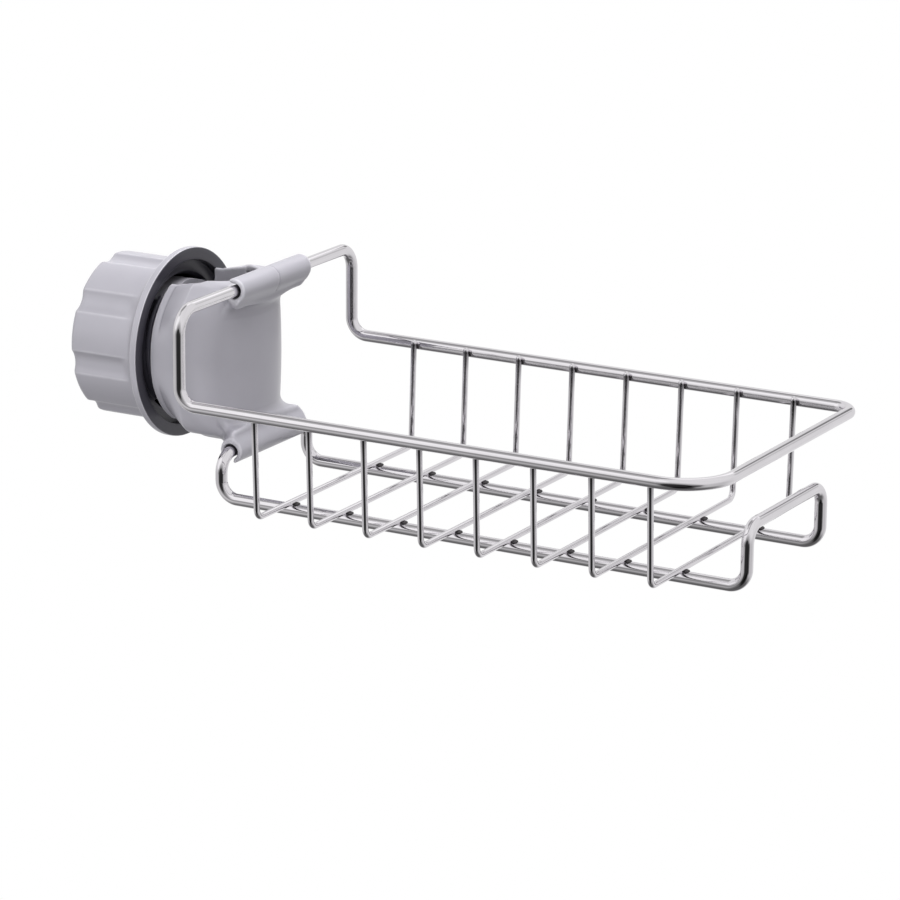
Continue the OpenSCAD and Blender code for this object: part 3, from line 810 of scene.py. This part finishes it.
def chrome_plate(name):
    """Bright plated wire: fine drawing lines along the wire in colour, gloss
    and bump, a faint cloudiness, and painted shade where the mesh marks the legs
    near the rails. It follows the wire's own map."""
    m = new_finish(name)
    along = m.add("ShaderNodeUVMap", {"uv_map": "along"})
    drawn = m.noise(along, 1.0, 2.0, 0.5, (16, 1100, 1))
    cloud = m.noise(along, 1.0, 2.0, 0.5, (90, 260, 1))
    plate = m.tint(drawn * 0.65 + cloud * 0.35, *PLATE)
    # Painted shade on the legs near the rails
    colour = m.tint(m.mark("welded"), plate, LEG_PAINTED_SHADE)
    return m.finish({"Base Color": colour, "Roughness": 0.04 + drawn * 0.06}, {"Metallic": 1.0},
                    (drawn * 0.9 + cloud * 0.1, 0.06, 0.00002))


def weld_metal(name):
    """Plated weld: rougher than the wire and lumpy at half a millimetre, and darker, which is painted shade
    at the crossings.
    """
    m = new_finish(name)
    lumps = m.noise(m.place(), 1500, 4.0, 0.6)
    return m.finish({"Base Color": m.tint(lumps, *WELD_PAINTED_SHADE), "Roughness": 0.45 + lumps * 0.3},
                    {"Metallic": 1.0}, (lumps, 0.5, 0.0002))


def dark_rubber(name):
    """Matt rubber: near black, with a fine grain and dusty high spots."""
    m = new_finish(name)
    place = m.place()
    grain = m.noise(place, 3200, 3.0, 0.6)
    dust = m.noise(place, 260, 4.0, 0.6)
    return m.finish({"Base Color": m.tint(dust, *RUBBER), "Roughness": 0.62 + dust * 0.2}, {},
                    (grain * 0.6 + dust * 0.4, 0.3, 0.0001))


# Putting together

body_plastic = moulded_plastic("body_plastic_grey", BODY_GREY, 0.33)
knob_plastic = moulded_plastic("knob_plastic_grey", KNOB_GREY, 0.34)
chrome = chrome_plate("chromed_wire_bright")
weld = weld_metal("plated_weld")
rubber = dark_rubber("pad_rubber_dark")


def place_piece(obj, material, body, slot, *nodes):
    """Gives a piece its material and its body, and hides the CAD nodes that it
    stands for. The slot is not used."""
    obj.data.materials.append(material)
    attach(obj, body)
    if nodes:
        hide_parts(*nodes)


place_piece(make_upper_frame(), chrome, "rack", "chromed_wire", "upper_frame")
place_piece(make_lower_frame(), chrome, "rack", "chromed_wire", "lower_frame")
for index in CROSS_WIRES:
    place_piece(make_cross_wire(index), chrome, "rack", "chromed_wire", "cross_wire_%d" % index)
rail_welds, runner_welds = weld_places()
place_piece(beads("rail_welds", *zip(*rail_welds)), weld, "rack", "chromed_wire")
place_piece(beads("runner_welds", *zip(*runner_welds)), weld, "rack", "chromed_wire")
place_piece(make_clamp_body(), body_plastic, "rack", "body_plastic", "clamp_body")
place_piece(make_knob(), knob_plastic, "knob", "knob_plastic", "clamp_knob")
liner = make_pad("ribbed_jaw_liner", liner_low, liner_high, 80, 0)
place_piece(liner, rubber, "rack", "pad_rubber", "jaw_liner")
shoe_pad = make_pad("ribbed_shoe_pad", pad_low, pad_high, 35, 180)
place_piece(shoe_pad, rubber, "shoe", "pad_rubber", "shoe_pad")
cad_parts["pressure_shoe"].material_slots[0].material = body_plastic


# Camera and studio, in metres and degrees, with sensor and lens in millimetres

CAMERA_PLACE, CAMERA_TURN, CAMERA_TILT, CAMERA_ROLL = (0.73436, -1.14770, 0.352847), 29.4305, 15.9064, 0.4217
SENSOR_W, LENS = 36, 170.534
FLOOR_HALF, FLOOR_Z, ROOM_R = 7.0, -0.8, 9.0
AMBIENT = 0.42
RACK_MIDDLE = Vector((0.08, 0, 0))
LAMP_SIZE = 0.7
# Each lamp's place and its power in watts
LAMPS = (("lamp_top", (0.0, 0.25, 1.45), 13),
         ("lamp_top_behind", (0.2, 0.9, 1.1), 24),
         ("lamp_top_front", (0.3, -0.9, 1.1), 13),
         ("lamp_low_front", (0.75, -1.15, -0.35), 8.5),
         ("lamp_side", (-0.9, -1.1, 0.1), 2.5),
         ("lamp_low_side", (-0.5, -1.0, -0.9), 6))
# Patches of the mirrored room: the direction of each, the cosines where it
# starts and where it is full, and what it multiplies the room's light by
PATCHES = (((0.20, -0.94, -0.28), 0.45, 0.93, 0.30),
           ((0.25, -0.93, -0.27), 0.83, 0.91, 0.14),
           ((0.74, -0.62, -0.27), 0.950, 0.985, 0.30),
           ((-0.30, 0.92, -0.25), 0.93, 0.98, 1.30),
           ((-0.47, 0.15, 0.87), 0.94, 0.975, 0.42),
           ((-0.47, -0.28, 0.84), 0.985, 0.995, 0.55),
           ((-0.48, -0.75, -0.44), 0.965, 0.990, 1.60),
           ((0.35, -0.65, -0.67), 0.92, 0.97, 0.20),
           ((-0.47, -0.85, 0.18), 0.988, 0.996, 1.35),
           ((0.05, 0.905, 0.42), 0.986, 0.994, 0.25),
           ((0.0, 0.80, 0.60), 0.978, 0.992, 1.45),
           ((0.40, 0.84, 0.36), 0.990, 0.997, 0.75),
           ((-0.20, 0.55, 0.81), 0.96, 0.985, 1.30),
           ((-0.47, -0.70, 0.53), 0.85, 0.95, 1.25))


def make_camera():
    """The photograph's camera, from the fitted place, turn, tilt and roll."""
    data = bpy.data.cameras.new("camera")
    data.sensor_width, data.lens = SENSOR_W, LENS
    data.clip_end = 50
    camera = bpy.data.objects.new("camera", data)
    bpy.context.scene.collection.objects.link(camera)
    turn, tilt, roll = (math.radians(a) for a in (CAMERA_TURN, 90 - CAMERA_TILT, CAMERA_ROLL))
    camera.matrix_world = (Matrix.Translation(CAMERA_PLACE)
                           @ Matrix.Rotation(turn, 4, "Z") @ Matrix.Rotation(tilt, 4, "X")
                           @ Matrix.Rotation(roll, 4, "Z"))
    bpy.context.scene.camera = camera


def stage_object(name, points, faces, light_of):
    """A glowing piece of the studio, whose light is what light_of gives."""
    obj = new_object(name, points, faces)
    m = new_finish(name + "_surface")
    glow = m.add("ShaderNodeEmission", None, {"Color": light_of(m), "Strength": 1.0})
    m.add("ShaderNodeOutputMaterial", None, {"Surface": glow})
    obj.data.materials.append(m.owner)
    return obj


def room_light(m):
    """The light of the room by direction: dark straight below, rising in two
    smooth steps to pale above, an even pale behind, and then each patch in
    turn."""
    direction = m.add("ShaderNodeVectorMath", {"operation": "NORMALIZE"}, {0: m.place()})

    def step(value, low, high, start, end):
        return m.add("ShaderNodeMapRange", {"interpolation_type": "SMOOTHSTEP"},
                     {"Value": value, "From Min": low, "From Max": high, "To Min": start, "To Max": end})

    def toward(vector):
        unit = np.array(vector) / np.linalg.norm(vector)
        return m.add("ShaderNodeVectorMath", {"operation": "DOT_PRODUCT"},
                     {0: direction, 1: tuple(unit)}, output="Value")

    up = toward((0, 0, 1))
    light = step(up, -0.93, -0.50, 0.12, 0.60) * step(up, -0.30, 0.30, 1.0, 1.40)
    behind = step(toward((0, 1, 0)), 0.2, 0.9, 0.0, 1.0)
    light = light + behind * (0.80 - light)
    for vector, low, high, factor in PATCHES:
        light = light * step(toward(vector), low, high, 1.0, factor)
    return light


def make_floor():
    """A plain pale floor well below the hanging rack."""
    signs = np.array([(-1, -1), (1, -1), (1, 1), (-1, 1)])
    points = np.c_[signs * FLOOR_HALF, np.full(4, FLOOR_Z)]
    floor = stage_object("floor", points, [np.arange(4)[None]], lambda m: (1, 1, 1, 1))
    floor.visible_glossy = floor.visible_diffuse = False


def make_mirrored_room():
    """A large ball round it all that only the reflections see."""
    rows, columns = 24, 48
    room = stage_object("mirrored_room", unit_ball(rows, columns) * ROOM_R,
                        closed_faces(rows, columns), room_light)
    room.visible_camera = room.visible_diffuse = False
    room.visible_shadow = room.visible_transmission = False


def make_surroundings():
    """White surroundings for the camera, and a soft even light for the rest."""
    world = Finish(bpy.data.worlds.new("studio"))
    bpy.context.scene.world = world.owner
    seen = world.add("ShaderNodeLightPath", output="Is Camera Ray")
    soft = world.add("ShaderNodeBackground", None, {"Color": (AMBIENT, AMBIENT, AMBIENT * 1.01, 1)})
    white = world.add("ShaderNodeBackground", None, {"Color": (1, 1, 1, 1)})
    mixed = world.add("ShaderNodeMixShader", None, {0: seen, 1: soft, 2: white})
    world.add("ShaderNodeOutputWorld", None, {"Surface": mixed})


def make_lamps():
    """Square lamps that face the rack and don't show in its wires."""
    for name, place, power in LAMPS:
        data = bpy.data.lights.new(name, "AREA")
        data.shape, data.size, data.energy = "SQUARE", LAMP_SIZE, power
        lamp = bpy.data.objects.new(name, data)
        bpy.context.scene.collection.objects.link(lamp)
        lamp.visible_glossy = False
        lamp.location = place
        lamp.rotation_euler = (RACK_MIDDLE - Vector(place)).to_track_quat("-Z", "Y").to_euler()


make_camera()
make_floor()
make_mirrored_room()
make_surroundings()
make_lamps()
bpy.context.scene.view_settings.view_transform = "Standard"
